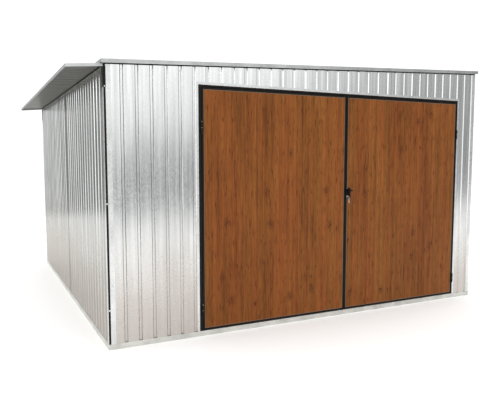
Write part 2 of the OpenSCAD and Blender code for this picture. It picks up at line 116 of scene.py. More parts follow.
def galvanised_sheet(name, stretch, dark, light, wave_mm, rough, dust_and_shade_share=1.0, shaded_side=(0, 0, 0),
                     painted_shade_colour="5C5B57"):
    """Hot-dip galvanised steel sheet, roll-formed: bright zinc with a faint spangle, long soft
    streaks along the rolling direction, and a slight waviness that breaks up its reflections.
    stretch scales the pattern along x, y and z. Faces turned the given shaded way take a painted
    shade in a grey shade colour: one flank of each wall groove, and the underside of each roof
    sheet. The lower wall is painted darker and warmer, partly dust and partly painted shade."""
    material, tree, shader = blank_material(name)
    coords = add(tree, "ShaderNodeTexCoord")
    place = coords.outputs["Object"]
    rolled = add(tree, "ShaderNodeMapping", {"Vector": place, "Scale": stretch}).outputs["Vector"]
    # Waves about 100 mm across and a metre long, as in thin sheet that is screwed down
    long_wave = add(tree, "ShaderNodeMapping", {"Vector": rolled, "Scale": tuple(
                    1.0 if n == 1.0 else 4.0 for n in stretch)}).outputs["Vector"]
    wave = add(tree, "ShaderNodeTexNoise", {"Vector": long_wave, "Scale": 9.0, "Detail": 1.0,
               "Roughness": 0.4}).outputs["Fac"]
    # Streaks 15 to 30 mm wide left by the rollers
    streak = add(tree, "ShaderNodeTexNoise", {"Vector": rolled, "Scale": 34.0, "Detail": 1.5,
                 "Roughness": 0.5}).outputs["Fac"]
    # Spangle 14 mm across
    spangle = add(tree, "ShaderNodeTexVoronoi", {"Vector": place, "Scale": 70.0})
    facet = add(tree, "ShaderNodeSeparateColor", {"Color": spangle.outputs["Color"]})
    tone = add(tree, "ShaderNodeMath", {0: facet.outputs[0], 1: 0.05, 2: streak},
               operation="MULTIPLY_ADD").outputs[0]
    zinc = add(tree, "ShaderNodeMapRange", {0: tone, 1: 0.33, 2: 0.72}).outputs[0]
    metal = add(tree, "ShaderNodeMix", {0: zinc, 6: colour(dark), 7: colour(light)},
                data_type="RGBA").outputs[2]
    # Painted shade on one flank of each wall groove and on the underside of each roof sheet, mixed
    # towards a grey shade colour
    side = add(tree, "ShaderNodeVectorMath", {0: coords.outputs["Normal"], 1: shaded_side},
               operation="DOT_PRODUCT").outputs["Value"]
    painted_shade = add(tree, "ShaderNodeMapRange", {0: side, 1: 0.4, 2: 0.7, 3: 0.0, 4: 0.88}).outputs[0]
    metal = add(tree, "ShaderNodeMix", {0: painted_shade, 6: metal, 7: colour(painted_shade_colour)},
                data_type="RGBA").outputs[2]
    # Darker and warmer towards the bottom, gone about 1.2 m up: partly a film of dust thrown up from
    # the ground, partly a painted warm reflection of the floor on the lower wall
    height = add(tree, "ShaderNodeSeparateXYZ", {0: place}).outputs["Z"]
    splash = add(tree, "ShaderNodeTexNoise", {"Vector": place, "Scale": 2.2,
                 "Detail": 2.0}).outputs["Fac"]
    reach = add(tree, "ShaderNodeMath", {0: splash, 1: 0.5, 2: height},
                operation="MULTIPLY_ADD").outputs[0]
    dust_and_low_shade = add(tree, "ShaderNodeMapRange", {0: reach, 1: 0.45, 2: 1.45, 3: 0.85 * dust_and_shade_share, 4: 0.0},
               interpolation_type="SMOOTHSTEP").outputs[0]
    skin = add(tree, "ShaderNodeMix", {0: dust_and_low_shade, 6: metal, 7: colour("BEB7B1")},
               data_type="RGBA").outputs[2]
    tree.links.new(skin, shader.inputs["Base Color"])
    shader.inputs["Metallic"].default_value = 1.0
    # Zinc that has begun to dull loses its mirror look at a glancing angle
    shader.inputs["Specular Tint"].default_value = colour("D2D1CE")
    satin = add(tree, "ShaderNodeMath", {0: facet.outputs[1], 1: 0.05, 2: rough},
                operation="MULTIPLY_ADD").outputs[0]
    satin = add(tree, "ShaderNodeMath", {0: dust_and_low_shade, 1: 0.12, 2: satin},
                operation="MULTIPLY_ADD").outputs[0]
    tree.links.new(satin, shader.inputs["Roughness"])
    relief = add(tree, "ShaderNodeMath", {0: streak, 1: 0.07, 2: wave},
                 operation="MULTIPLY_ADD").outputs[0]
    # The zinc crystals stand a few thousandths of a millimetre proud of each other
    crystals = add(tree, "ShaderNodeTexNoise", {"Vector": place, "Scale": 85.0,
                   "Detail": 1.0}).outputs["Fac"]
    relief = add(tree, "ShaderNodeMath", {0: crystals, 1: 0.0012, 2: relief},
                 operation="MULTIPLY_ADD").outputs[0]
    bump = add(tree, "ShaderNodeBump", {"Height": relief, "Strength": 1.0,
               "Distance": wave_mm * MM}).outputs["Normal"]
    tree.links.new(bump, shader.inputs["Normal"])
    return material


def folded_galvanised(name, dark, light, rough):
    """Galvanised flat strip and folded trim: the same zinc, smoother and a little paler, dulled in
    cloudy patches by handling."""
    material, tree, shader = blank_material(name)
    place = add(tree, "ShaderNodeTexCoord").outputs["Object"]
    cloud = add(tree, "ShaderNodeTexNoise", {"Vector": place, "Scale": 7.0, "Detail": 2.0,
                "Roughness": 0.5}).outputs["Fac"]
    spangle = add(tree, "ShaderNodeTexVoronoi", {"Vector": place, "Scale": 85.0})
    facet = add(tree, "ShaderNodeSeparateColor", {"Color": spangle.outputs["Color"]})
    tone = add(tree, "ShaderNodeMath", {0: facet.outputs[0], 1: 0.1, 2: cloud},
               operation="MULTIPLY_ADD").outputs[0]
    zinc = add(tree, "ShaderNodeMapRange", {0: tone, 1: 0.35, 2: 0.75}).outputs[0]
    metal = add(tree, "ShaderNodeMix", {0: zinc, 6: colour(dark), 7: colour(light)},
                data_type="RGBA").outputs[2]
    tree.links.new(metal, shader.inputs["Base Color"])
    shader.inputs["Metallic"].default_value = 1.0
    satin = add(tree, "ShaderNodeMath", {0: facet.outputs[1], 1: 0.12, 2: rough},
                operation="MULTIPLY_ADD").outputs[0]
    tree.links.new(satin, shader.inputs["Roughness"])
    bump = add(tree, "ShaderNodeBump", {"Height": cloud, "Strength": 1.0,
               "Distance": 0.8 * MM}).outputs["Normal"]
    tree.links.new(bump, shader.inputs["Normal"])
    return material


def enamelled_steel(name):
    """Black brushed-on enamel over square tube: deep, half gloss, with brush drag, a fine
    orange peel and rubbed patches where the grey primer starts to show."""
    material, tree, shader = blank_material(name)
    place = add(tree, "ShaderNodeTexCoord").outputs["Object"]
    drag = add(tree, "ShaderNodeMapping", {"Vector": place, "Scale": (1.0, 1.0, 0.12)})
    brush = add(tree, "ShaderNodeTexNoise", {"Vector": drag.outputs["Vector"], "Scale": 210.0,
                "Detail": 3.0}).outputs["Fac"]
    patch = add(tree, "ShaderNodeTexNoise", {"Vector": place, "Scale": 11.0, "Detail": 6.0,
                "Roughness": 0.7}).outputs["Fac"]
    rub = add(tree, "ShaderNodeMapRange", {0: patch, 1: 0.56, 2: 0.74}).outputs[0]
    paint = add(tree, "ShaderNodeMix", {0: rub, 6: colour("130F0B"), 7: colour("28221D")},
                data_type="RGBA").outputs[2]
    tree.links.new(paint, shader.inputs["Base Color"])
    gloss = add(tree, "ShaderNodeMath", {0: rub, 1: 0.22, 2: 0.36},
                operation="MULTIPLY_ADD").outputs[0]
    tree.links.new(gloss, shader.inputs["Roughness"])
    shader.inputs["Specular IOR Level"].default_value = 0.16
    bump = add(tree, "ShaderNodeBump", {"Height": brush, "Strength": 0.5,
               "Distance": 0.3 * MM}).outputs["Normal"]
    tree.links.new(bump, shader.inputs["Normal"])
    return material


def wood_effect_steel(name, shift, darkest):
    """Steel sheet with a printed and embossed wood coating: upright boards in warm brown with
    fine fibres, darker bands, pores and ragged knots under a satin lacquer, and a plain
    grey-beige backing coat inside. shift moves the print, and darkest is the tone that takes
    the darkest brown."""
    material, tree, shader = blank_material(name)
    coords = add(tree, "ShaderNodeTexCoord")
    place = add(tree, "ShaderNodeMapping", {"Vector": coords.outputs["Object"],
                "Location": shift}).outputs["Vector"]
    # Knots up to 80 mm across and 140 mm tall, about one to every 0.15 square metres
    ragged = add(tree, "ShaderNodeTexNoise", {"Vector": place, "Scale": 38.0,
                 "Detail": 2.0}).outputs["Fac"]
    spot = add(tree, "ShaderNodeSeparateXYZ", {0: place})
    knot_x = add(tree, "ShaderNodeMath", {0: spot.outputs["X"], 1: 4.8},
                 operation="MULTIPLY").outputs[0]
    knot_x = add(tree, "ShaderNodeMath", {0: ragged, 1: 0.09, 2: knot_x},
                 operation="MULTIPLY_ADD").outputs[0]
    knot_z = add(tree, "ShaderNodeMath", {0: spot.outputs["Z"], 1: 2.7},
                 operation="MULTIPLY").outputs[0]
    knot_z = add(tree, "ShaderNodeMath", {0: ragged, 1: -0.12, 2: knot_z},
                 operation="MULTIPLY_ADD").outputs[0]
    knot_grid = add(tree, "ShaderNodeCombineXYZ", {"X": knot_x, "Y": knot_z}).outputs[0]
    knots = add(tree, "ShaderNodeTexVoronoi", {"Vector": knot_grid, "Scale": 1.0},
                voronoi_dimensions="2D")
    knot = knots.outputs["Distance"]
    # About half of the places grow a knot
    grown = add(tree, "ShaderNodeSeparateColor", {"Color": knots.outputs["Color"]}).outputs[0]
    grown = add(tree, "ShaderNodeMapRange", {0: grown, 1: 0.45, 2: 0.75}).outputs[0]
    knot_core = add(tree, "ShaderNodeMapRange", {0: knot, 1: 0.03, 2: 0.19, 3: 0.85, 4: 0.0},
                    interpolation_type="SMOOTHSTEP").outputs[0]
    # Each knot is a cluster of dark flecks, 10 mm across and 20 mm long
    fleck_grid = add(tree, "ShaderNodeMapping", {"Vector": place, "Scale": (105.0, 1.0, 44.0)})
    fleck = add(tree, "ShaderNodeTexNoise", {"Vector": fleck_grid.outputs["Vector"],
                "Scale": 1.0, "Detail": 2.0, "Roughness": 0.6}).outputs["Fac"]
    fleck = add(tree, "ShaderNodeMapRange", {0: fleck, 1: 0.45, 2: 0.54, 3: 0.0,
                4: 1.0}).outputs[0]
    knot_core = add(tree, "ShaderNodeMath", {0: knot_core, 1: fleck},
                    operation="MULTIPLY").outputs[0]
    knot_core = add(tree, "ShaderNodeMath", {0: knot_core, 1: grown},
                    operation="MULTIPLY").outputs[0]
    knot_halo = add(tree, "ShaderNodeMapRange", {0: knot, 1: 0.03, 2: 0.22, 3: 1.0, 4: 0.0},
                    interpolation_type="SMOOTHSTEP").outputs[0]
    knot_halo = add(tree, "ShaderNodeMath", {0: knot_halo, 1: grown},
                    operation="MULTIPLY").outputs[0]
    # Grain wanders a few millimetres from side to side and bends round each knot
    wander = add(tree, "ShaderNodeTexNoise", {"Vector": place, "Scale": 2.6,
                 "Detail": 3.0}).outputs["Color"]
    bent = add(tree, "ShaderNodeVectorMath", {0: wander, 1: (0.018, 0.0, 0.0), 2: place},
               operation="MULTIPLY_ADD").outputs[0]
    swell = add(tree, "ShaderNodeCombineXYZ", {"X": knot_halo}).outputs[0]
    bent = add(tree, "ShaderNodeVectorMath", {0: swell, 1: (0.016, 0.0, 0.0), 2: bent},
               operation="MULTIPLY_ADD").outputs[0]
    # Boards 230 mm wide, each its own tone, with a dark joint 3 mm wide
    across = add(tree, "ShaderNodeSeparateXYZ", {0: place}).outputs["X"]
    board = add(tree, "ShaderNodeMath", {0: across, 1: 1 / 0.232}, operation="MULTIPLY").outputs[0]
    board_no = add(tree, "ShaderNodeMath", {0: board}, operation="FLOOR").outputs[0]
    in_board = add(tree, "ShaderNodeMath", {0: board}, operation="FRACT").outputs[0]
    board_tone = add(tree, "ShaderNodeTexWhiteNoise", {"W": board_no},
                     noise_dimensions="1D").outputs["Value"]
    joint = add(tree, "ShaderNodeMapRange", {0: in_board, 1: 0.0, 2: 0.022, 3: 1.0,
                4: 0.0}).outputs[0]
    # Fibres 8 mm wide, drawn coarser than real ones so that they show, bands 30 mm wide and
    # broad shading 140 mm wide, all long and upright
    fibre_grid = add(tree, "ShaderNodeMapping", {"Vector": bent, "Scale": (125.0, 1.0, 6.0)})
    fibre = add(tree, "ShaderNodeTexNoise", {"Vector": fibre_grid.outputs["Vector"],
                "Scale": 1.0, "Detail": 4.0, "Roughness": 0.7}).outputs["Fac"]
    band_grid = add(tree, "ShaderNodeMapping", {"Vector": bent, "Scale": (34.0, 1.0, 1.4)})
    band = add(tree, "ShaderNodeTexNoise", {"Vector": band_grid.outputs["Vector"],
               "Scale": 1.0, "Detail": 4.0, "Roughness": 0.6}).outputs["Fac"]
    broad_grid = add(tree, "ShaderNodeMapping", {"Vector": bent, "Scale": (7.0, 1.0, 1.2)})
    broad = add(tree, "ShaderNodeTexNoise", {"Vector": broad_grid.outputs["Vector"],
                "Scale": 1.0, "Detail": 2.0}).outputs["Fac"]
    # Dead straight lines 4 to 20 mm wide, the full height of the sheet
    line_grid = add(tree, "ShaderNodeMapping", {"Vector": place, "Scale": (62.0, 1.0, 0.12)})
    straight = add(tree, "ShaderNodeTexNoise", {"Vector": line_grid.outputs["Vector"],
                   "Scale": 1.0, "Detail": 3.0, "Roughness": 0.75}).outputs["Fac"]
    tone = add(tree, "ShaderNodeMath", {0: band, 1: 0.5}, operation="MULTIPLY").outputs[0]
    tone = add(tree, "ShaderNodeMath", {0: straight, 1: 0.5, 2: tone},
               operation="MULTIPLY_ADD").outputs[0]
    tone = add(tree, "ShaderNodeMath", {0: fibre, 1: 0.75, 2: tone},
               operation="MULTIPLY_ADD").outputs[0]
    tone = add(tree, "ShaderNodeMath", {0: broad, 1: 0.3, 2: tone},
               operation="MULTIPLY_ADD").outputs[0]
    tone = add(tree, "ShaderNodeMath", {0: board_tone, 1: 0.10, 2: tone},
               operation="MULTIPLY_ADD").outputs[0]
    shade = add(tree, "ShaderNodeMapRange", {0: tone, 1: darkest, 2: darkest + 0.48}).outputs[0]
    brown = add(tree, "ShaderNodeValToRGB", {"Fac": shade},
                stops=[(0.0, "5A300F"), (1.0, "91592A"), (0.3, "71401A"), (0.5, "7D481E"),
                       (0.7, "855024")]).outputs["Color"]
    # Reddish and olive drifts in the print
    drift = add(tree, "ShaderNodeTexNoise", {"Vector": band_grid.outputs["Vector"],
                "Scale": 0.35, "Detail": 1.0}).outputs["Fac"]
    drift = add(tree, "ShaderNodeMapRange", {0: drift, 1: 0.35, 2: 0.65}).outputs[0]
    tint = add(tree, "ShaderNodeMix", {0: drift, 6: colour("F8FFF2"), 7: colour("FFF4EF")},
               data_type="RGBA").outputs[2]
    brown = add(tree, "ShaderNodeMix", {0: 1.0, 6: brown, 7: tint}, data_type="RGBA",
                blend_type="MULTIPLY").outputs[2]
    # Pores: dark dashes up to 10 mm wide and 90 mm long, coarser than real ones so that they show
    pore_grid = add(tree, "ShaderNodeMapping", {"Vector": bent, "Scale": (95.0, 1.0, 11.0)})
    pore = add(tree, "ShaderNodeTexNoise", {"Vector": pore_grid.outputs["Vector"],
               "Scale": 1.0, "Detail": 1.0}).outputs["Fac"]
    pore = add(tree, "ShaderNodeMapRange", {0: pore, 1: 0.61, 2: 0.71, 3: 0.0,
               4: 0.75}).outputs[0]
    marks = add(tree, "ShaderNodeMath", {0: knot_core, 1: pore}, operation="MAXIMUM").outputs[0]
    soft_halo = add(tree, "ShaderNodeMath", {0: knot_halo, 1: 0.25}, operation="MULTIPLY").outputs[0]
    marks = add(tree, "ShaderNodeMath", {0: marks, 1: soft_halo}, operation="MAXIMUM").outputs[0]
    line = add(tree, "ShaderNodeMath", {0: joint, 1: 0.45}, operation="MULTIPLY").outputs[0]
    marks = add(tree, "ShaderNodeMath", {0: marks, 1: line}, operation="MAXIMUM").outputs[0]
    print_coat = add(tree, "ShaderNodeMix", {0: marks, 6: brown, 7: colour("43200A")},
                     data_type="RGBA").outputs[2]
    # The inner face carries the plain backing coat
    inward = add(tree, "ShaderNodeSeparateXYZ", {0: coords.outputs["Normal"]}).outputs["Y"]
    inner = add(tree, "ShaderNodeMath", {0: inward, 1: 0.5}, operation="GREATER_THAN").outputs[0]
    backing = add(tree, "ShaderNodeMix", {0: fibre, 6: colour("9A968E"), 7: colour("A8A49B")},
                  data_type="RGBA").outputs[2]
    coat = add(tree, "ShaderNodeMix", {0: inner, 6: print_coat, 7: backing},
               data_type="RGBA").outputs[2]
    tree.links.new(coat, shader.inputs["Base Color"])
    satin = add(tree, "ShaderNodeMapRange", {0: fibre, 1: 0.3, 2: 0.7, 3: 0.42,
                4: 0.55}).outputs[0]
    tree.links.new(satin, shader.inputs["Roughness"])
    shader.inputs["Specular IOR Level"].default_value = 0.14
    grain = add(tree, "ShaderNodeMath", {0: marks, 1: -0.6, 2: fibre},
                operation="MULTIPLY_ADD").outputs[0]
    bump = add(tree, "ShaderNodeBump", {"Height": grain, "Strength": 0.6,
               "Distance": 0.25 * MM}).outputs["Normal"]
    tree.links.new(bump, shader.inputs["Normal"])
    return material


def plain_finish(name, dark, light, scale, metallic, rough, spread, bump_mm, shine=0.5):
    """A small fitting's finish: two close tones in a fine mottle, with the mottle in its gloss."""
    material, tree, shader = blank_material(name)
    place = add(tree, "ShaderNodeTexCoord").outputs["Object"]
    mottle = add(tree, "ShaderNodeTexNoise", {"Vector": place, "Scale": scale,
                 "Detail": 4.0}).outputs["Fac"]
    spread_out = add(tree, "ShaderNodeMapRange", {0: mottle, 1: 0.3, 2: 0.7}).outputs[0]
    skin = add(tree, "ShaderNodeMix", {0: spread_out, 6: colour(dark), 7: colour(light)},
               data_type="RGBA").outputs[2]
    tree.links.new(skin, shader.inputs["Base Color"])
    shader.inputs["Metallic"].default_value = metallic
    shader.inputs["Specular IOR Level"].default_value = shine
    gloss = add(tree, "ShaderNodeMath", {0: mottle, 1: spread, 2: rough},
                operation="MULTIPLY_ADD").outputs[0]
    tree.links.new(gloss, shader.inputs["Roughness"])
    bump = add(tree, "ShaderNodeBump", {"Height": mottle, "Strength": 1.0,
               "Distance": bump_mm * MM}).outputs["Normal"]
    tree.links.new(bump, shader.inputs["Normal"])
    return material


# The wall sheets take a painted shade on one flank of each groove, and are painted darker and warmer
# low down
front_steel = galvanised_sheet("galvanised_steel_front_sheet", (1.0, 1.0, 0.03),
                               "D2D4D4", "EDEEEE", 3.8, 0.17, shaded_side=(1, 0, 0))
side_steel = galvanised_sheet("galvanised_steel_side_sheet", (1.0, 1.0, 0.03),
                              "B4B8B8", "E8E9E9", 4.4, 0.19, shaded_side=(0, 1, 0))
# The roof sheets take a painted shade on their undersides, which are seen under the eave
roof_steel = galvanised_sheet("galvanised_steel_roof_sheet", (0.03, 1.0, 1.0),
                              "A4A6A6", "C8CACA", 3.0, 0.28, dust_and_shade_share=0.0, shaded_side=(0, 0, -1),
                              painted_shade_colour="504F4B")
trim_steel = folded_galvanised("galvanised_steel_folded_trim", "AAACAC", "C2C4C4", 0.30)
strip_steel = folded_galvanised("galvanised_steel_flat_strip", "CFD1D1", "E2E3E3", 0.26)
base_steel = folded_galvanised("galvanised_steel_base_angle", "C2C2BD", "DADAD5", 0.40)
black_enamel = enamelled_steel("black_enamelled_steel")
wood_left = wood_effect_steel("wood_effect_coated_steel_left", (0.37, 0.0, 0.0), 0.85)
wood_right = wood_effect_steel("wood_effect_coated_steel_right", (5.11, 0.0, 3.4), 0.87)
bright_zinc = plain_finish("bright_zinc_plated_steel", "B9BBB8", "DADBD6", 400.0, 1.0, 0.16,
                           0.12, 0.05)
rivet_steel = plain_finish("aluminium_rivet_heads", "A4A6A6", "C3C5C5", 500.0, 1.0, 0.30,
                           0.15, 0.03)
brass = plain_finish("turned_brass", "B08F4A", "D0B46C", 350.0, 1.0, 0.22, 0.15, 0.03)
black_cast = plain_finish("black_powder_coated_casting", "0C0B0A", "171514", 900.0, 0.0, 0.34,
                          0.2, 0.05, shine=0.08)
rubber = plain_finish("black_rubber_washers", "17171A", "26262A", 700.0, 0.0, 0.62, 0.2, 0.05)
cut_edge = plain_finish("folded_edge_of_coated_steel", "6E5743", "84705E", 160.0, 0.5, 0.38,
                        0.2, 0.05)
brown_rivet = plain_finish("brown_painted_rivet_heads", "6E4120", "85532B", 600.0, 0.0, 0.36,
                           0.2, 0.04)
nickel_key = plain_finish("nickel_plated_keys", "A39A8F", "C4BBB0", 600.0, 1.0, 0.24, 0.1, 0.02)

WALL_SHEETS = ["front_sheet_left", "front_sheet_right", "head_sheet_left", "head_sheet_right",
               "back_sheet_left", "back_sheet_right"]
SIDE_SHEETS = ["left_sheet_front", "left_sheet_back", "right_sheet_front", "right_sheet_back"]
ROOF_SHEETS = ["roof_sheet_1", "roof_sheet_2", "roof_sheet_3", "roof_sheet_4", "eave_sheet"]
TRIMS = ["verge_caps", "roof_edges", "eave_edge", "eave_ends"]
STRIPS = ["cover_strips", "door_strips"]
BASES = ["base_rail_front", "base_rail_back", "base_rail_left", "base_rail_right"]
FRAMES = ["corner_posts", "mid_posts", "wall_girts", "eaves_rails", "gable_rails",
          "roof_rafter", "roof_purlins", "door_posts", "door_head", "head_studs",
          "left_leaf_stiles", "left_leaf_rails", "right_leaf_stiles", "right_leaf_rails",
          "left_hinge_knuckles", "right_hinge_knuckles", "hinge_pins"]

FINISHES = [
    (WALL_SHEETS, front_steel),
    (SIDE_SHEETS, side_steel),
    (ROOF_SHEETS, roof_steel),
    (TRIMS, trim_steel),
    (STRIPS, strip_steel),
    (BASES, base_steel),
    (FRAMES, black_enamel),
    (["left_leaf_panel"], wood_left),
    (["right_leaf_panel"], wood_right),
    (["lock_plate", "lever_handle"], black_cast),
]
for names, material in FINISHES:
    for name in names:
        for slot in nodes[name].material_slots:
            slot.material = material


# ---- shapes ----------------------------------------------------------------------------------

def turned(profile, steps=16):
    """Points and faces of a profile of (radius, height) pairs turned round the z axis."""
    points = []
    for radius, height in profile:
        for i in range(steps):
            angle = 2 * math.pi * i / steps
            points.append(Vector((radius * math.cos(angle), radius * math.sin(angle), height)))
    faces = []
    for row in range(len(profile) - 1):
        for i in range(steps):
            j = (i + 1) % steps
            a = row * steps
            b = a + steps
            faces.append((a + i, a + j, b + j, b + i))
    faces.append(tuple(range(steps - 1, -1, -1)))
    faces.append(tuple(range(len(points) - steps, len(points))))
    return points, faces


def block(size_x, size_y, size_z):
    """Points and faces of a block that stands on z = 0, centred on the z axis."""
    x = size_x / 2
    y = size_y / 2
    flat = [(-x, -y), (x, -y), (x, y), (-x, y)]
    points = [Vector((a, b, 0)) for a, b in flat] + [Vector((a, b, size_z)) for a, b in flat]
    faces = [(3, 2, 1, 0), (4, 5, 6, 7), (0, 1, 5, 4), (1, 2, 6, 5), (2, 3, 7, 6), (3, 0, 4, 7)]
    return points, faces


def wire_ring(ring_r, wire_r, steps=28, sides=8):
    """Points and faces of a round wire ring lying in the plane z = 0."""
    points = []
    for i in range(steps):
        turn = 2 * math.pi * i / steps
        for k in range(sides):
            lean = 2 * math.pi * k / sides
            reach = ring_r + wire_r * math.cos(lean)
            points.append(Vector((reach * math.cos(turn), reach * math.sin(turn),
                                  wire_r * math.sin(lean))))
    faces = []
    for i in range(steps):
        for k in range(sides):
            a = i * sides
            b = (i + 1) % steps * sides
            n = (k + 1) % sides
            faces.append((a + k, b + k, b + n, a + n))
    return points, faces


def placed(shape, spot, facing=UP, roll=0.0):
    """The shape turned about z by roll, then with its z axis along facing, then moved to spot."""
    points, faces = shape
    turn = UP.rotation_difference(facing).to_matrix()
    cos_r = math.cos(roll)
    sin_r = math.sin(roll)
    moved = []
    for p in points:
        rolled = Vector((p.x * cos_r - p.y * sin_r, p.x * sin_r + p.y * cos_r, p.z))
        moved.append(turn @ rolled + Vector(spot))
    return moved, faces


def piece(name, shapes, material, body, bevel=0.0, smooth=True):
    """One mesh made of all the shapes, in one material, riding on one body."""
    points = []
    faces = []
    for shape_points, shape_faces in shapes:
        start = len(points)
        points.extend(shape_points)
        faces.extend([tuple(start + i for i in face) for face in shape_faces])
    mesh = bpy.data.meshes.new(name)
    mesh.from_pydata(points, [], faces)
    mesh.validate()
    mesh.materials.append(material)
    made = bpy.data.objects.new(name, mesh)
    scene.collection.objects.link(made)
    if smooth:
        mesh.shade_smooth()
        mesh.set_sharp_from_angle(angle=math.radians(35))
    if bevel:
        rounding = made.modifiers.new("rounded_edges", "BEVEL")
        rounding.width = bevel
        rounding.segments = 2
    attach(made, body)
    return made


def spaced(start, end, most):
    """Even spacing from start to end with no gap over most."""
    count = max(1, math.ceil((end - start) / most))
    return [start + (end - start) * i / count for i in range(count + 1)]


# Domed blind rivet 8 mm across, hexagon screw with a flange, hexagon bolt with its washer
RIVET = turned([(4.0 * MM, 0), (3.9 * MM, 0.6 * MM), (3.0 * MM, 1.4 * MM), (1.6 * MM, 1.9 * MM),
                (1.5 * MM, 1.5 * MM), (0.3 * MM, 1.5 * MM)], 12)
SCREW_HEAD = turned([(3.9 * MM, 1.6 * MM), (3.9 * MM, 4.6 * MM), (3.3 * MM, 5.1 * MM),
                     (0.4 * MM, 5.1 * MM)], 6)
SCREW_FLANGE = turned([(5.8 * MM, 0.9 * MM), (5.8 * MM, 1.2 * MM), (4.0 * MM, 1.9 * MM),
                       (1.0 * MM, 1.9 * MM)], 14)
SCREW_RUBBER = turned([(6.6 * MM, 0), (6.8 * MM, 0.5 * MM), (6.0 * MM, 1.0 * MM),
                       (1.0 * MM, 1.0 * MM)], 14)
BOLT_HEAD = turned([(6.2 * MM, 1.3 * MM), (6.2 * MM, 4.9 * MM), (5.3 * MM, 5.5 * MM),
                    (0.5 * MM, 5.5 * MM)], 6)
BOLT_WASHER = turned([(7.8 * MM, 0), (7.8 * MM, 1.2 * MM), (7.4 * MM, 1.5 * MM),
                      (1.0 * MM, 1.5 * MM)], 18)


# ---- where things are --------------------------------------------------------------------------

wall_left = low("front_sheet_left").x - TUBE
wall_front = low("front_sheet_left").y
wall_right = high("front_sheet_right").x + TUBE
wall_back = high("back_sheet_left").y
roof_slope = (high("head_sheet_right").z - high("head_sheet_left").z) / (
    high("head_sheet_right").x - high("head_sheet_left").x)
post_l = low("door_posts").x
post_r = high("door_posts").x
head_low = low("door_head").z
girt_z = (low("wall_girts").z + high("wall_girts").z) / 2
base_h = high("base_rail_front").z
roof_start = high("front_sheet_left").z - roof_slope * (high("front_sheet_left").x - wall_left)


def sheet_top(x):
    """Height of the top edge of the front and back sheets at x."""
    return roof_start + roof_slope * (x - wall_left)


# ---- fasteners ---------------------------------------------------------------------------------

# From the end of the front, of its narrow-ribbed part and of the other walls to a groove centre
FRONT_FIRST = 140 * MM
NARROW_FIRST = 52 * MM
WALL_FIRST = 85 * MM
# Rivet rows above the base angle and below the tops of the sheets
LOW_ROW = 14 * MM
TOP_ROW = 34 * MM
SIDE_TOP_ROW = 30 * MM


def groove_centres(first, step, start, end):
    """Groove centres inside a sheet, 20 mm or more from its ends."""
    margin = 20 * MM
    found = []
    spot = first
    while spot < end - margin:
        if spot > start + margin:
            found.append(spot)
        spot += step
    return found


# Rivets in the bottom of every other groove, where each sheet meets a rail
groove_rivets = []


def rivet_row(spots, z_of, at, facing):
    """Rivets along x on the front and back walls, and along y on the side walls."""
    for spot in spots[::2]:
        place = (spot, at) if facing.y else (at, spot)
        groove_rivets.append(placed(RIVET, (*place, z_of(spot)), facing))


front_grooves = groove_centres(wall_left + FRONT_FIRST, PITCH, low("front_sheet_left").x,
                               high("front_sheet_left").x)
narrow_grooves = groove_centres(low("head_sheet_right").x + NARROW_FIRST, NARROW_PITCH,
                                low("front_sheet_right").x, high("front_sheet_right").x)
back_grooves = [-x for x in groove_centres(WALL_FIRST + PITCH - wall_right, PITCH, -wall_right,
                                           -wall_left)]
left_grooves = [-y for y in groove_centres(WALL_FIRST - wall_back, PITCH, -wall_back,
                                           -wall_front - TUBE)]
right_grooves = groove_centres(wall_front + WALL_FIRST, PITCH, wall_front, wall_back - TUBE)
for z_of in (lambda x: girt_z, lambda x: base_h + LOW_ROW, lambda x: sheet_top(x) - TOP_ROW):
    rivet_row(front_grooves, z_of, wall_front + GROOVE_DEPTH, FRONT)
    rivet_row(narrow_grooves, z_of, wall_front + GROOVE_DEPTH, FRONT)
    rivet_row(back_grooves, z_of, wall_back - GROOVE_DEPTH, BACK)
for sheet, spots, face_x, facing in (
        ("left_sheet_front", left_grooves, wall_left + GROOVE_DEPTH, LEFT),
        ("right_sheet_front", right_grooves, wall_right - GROOVE_DEPTH, RIGHT)):
    for row_z in (girt_z, base_h + LOW_ROW, high(sheet).z - SIDE_TOP_ROW):
        rivet_row(spots, lambda y, z=row_z: z, face_x, facing)
piece("groove_rivets", groove_rivets, rivet_steel, "building")

# Rivets through the flat strips, down both ends of each wall and round the doorway
strip_low = low("door_strips")
strip_high = high("door_strips")
lap_inset = TUBE + 12 * MM
mid_inset = STRIP_W / 2
door_inset = DOOR_STRIP_W / 2
strip_rivets = []
for z in spaced(base_h + 90 * MM, head_low - 60 * MM, 400 * MM):
    for at, facing in (((wall_left + lap_inset, wall_front - STRIP_T), FRONT),
                       ((wall_right - mid_inset, wall_front - STRIP_T), FRONT),
                       ((wall_right - lap_inset, wall_back + STRIP_T), BACK),
                       ((wall_left + mid_inset, wall_back + STRIP_T), BACK),
                       ((wall_left - STRIP_T, wall_back - lap_inset), LEFT),
                       ((wall_left - STRIP_T, wall_front + mid_inset), LEFT),
                       ((wall_right + STRIP_T, wall_front + lap_inset), RIGHT),
                       ((wall_right + STRIP_T, wall_back - mid_inset), RIGHT),
                       ((strip_low.x + door_inset, wall_front - STRIP_T), FRONT),
                       ((strip_high.x - door_inset, wall_front - STRIP_T), FRONT)):
        strip_rivets.append(placed(RIVET, (*at, z), facing))
for x in spaced(strip_low.x + 120 * MM, strip_high.x - 120 * MM, 420 * MM):
    strip_rivets.append(placed(RIVET, (x, wall_front - STRIP_T, strip_high.z - door_inset), FRONT))
piece("strip_rivets", strip_rivets, rivet_steel, "building")

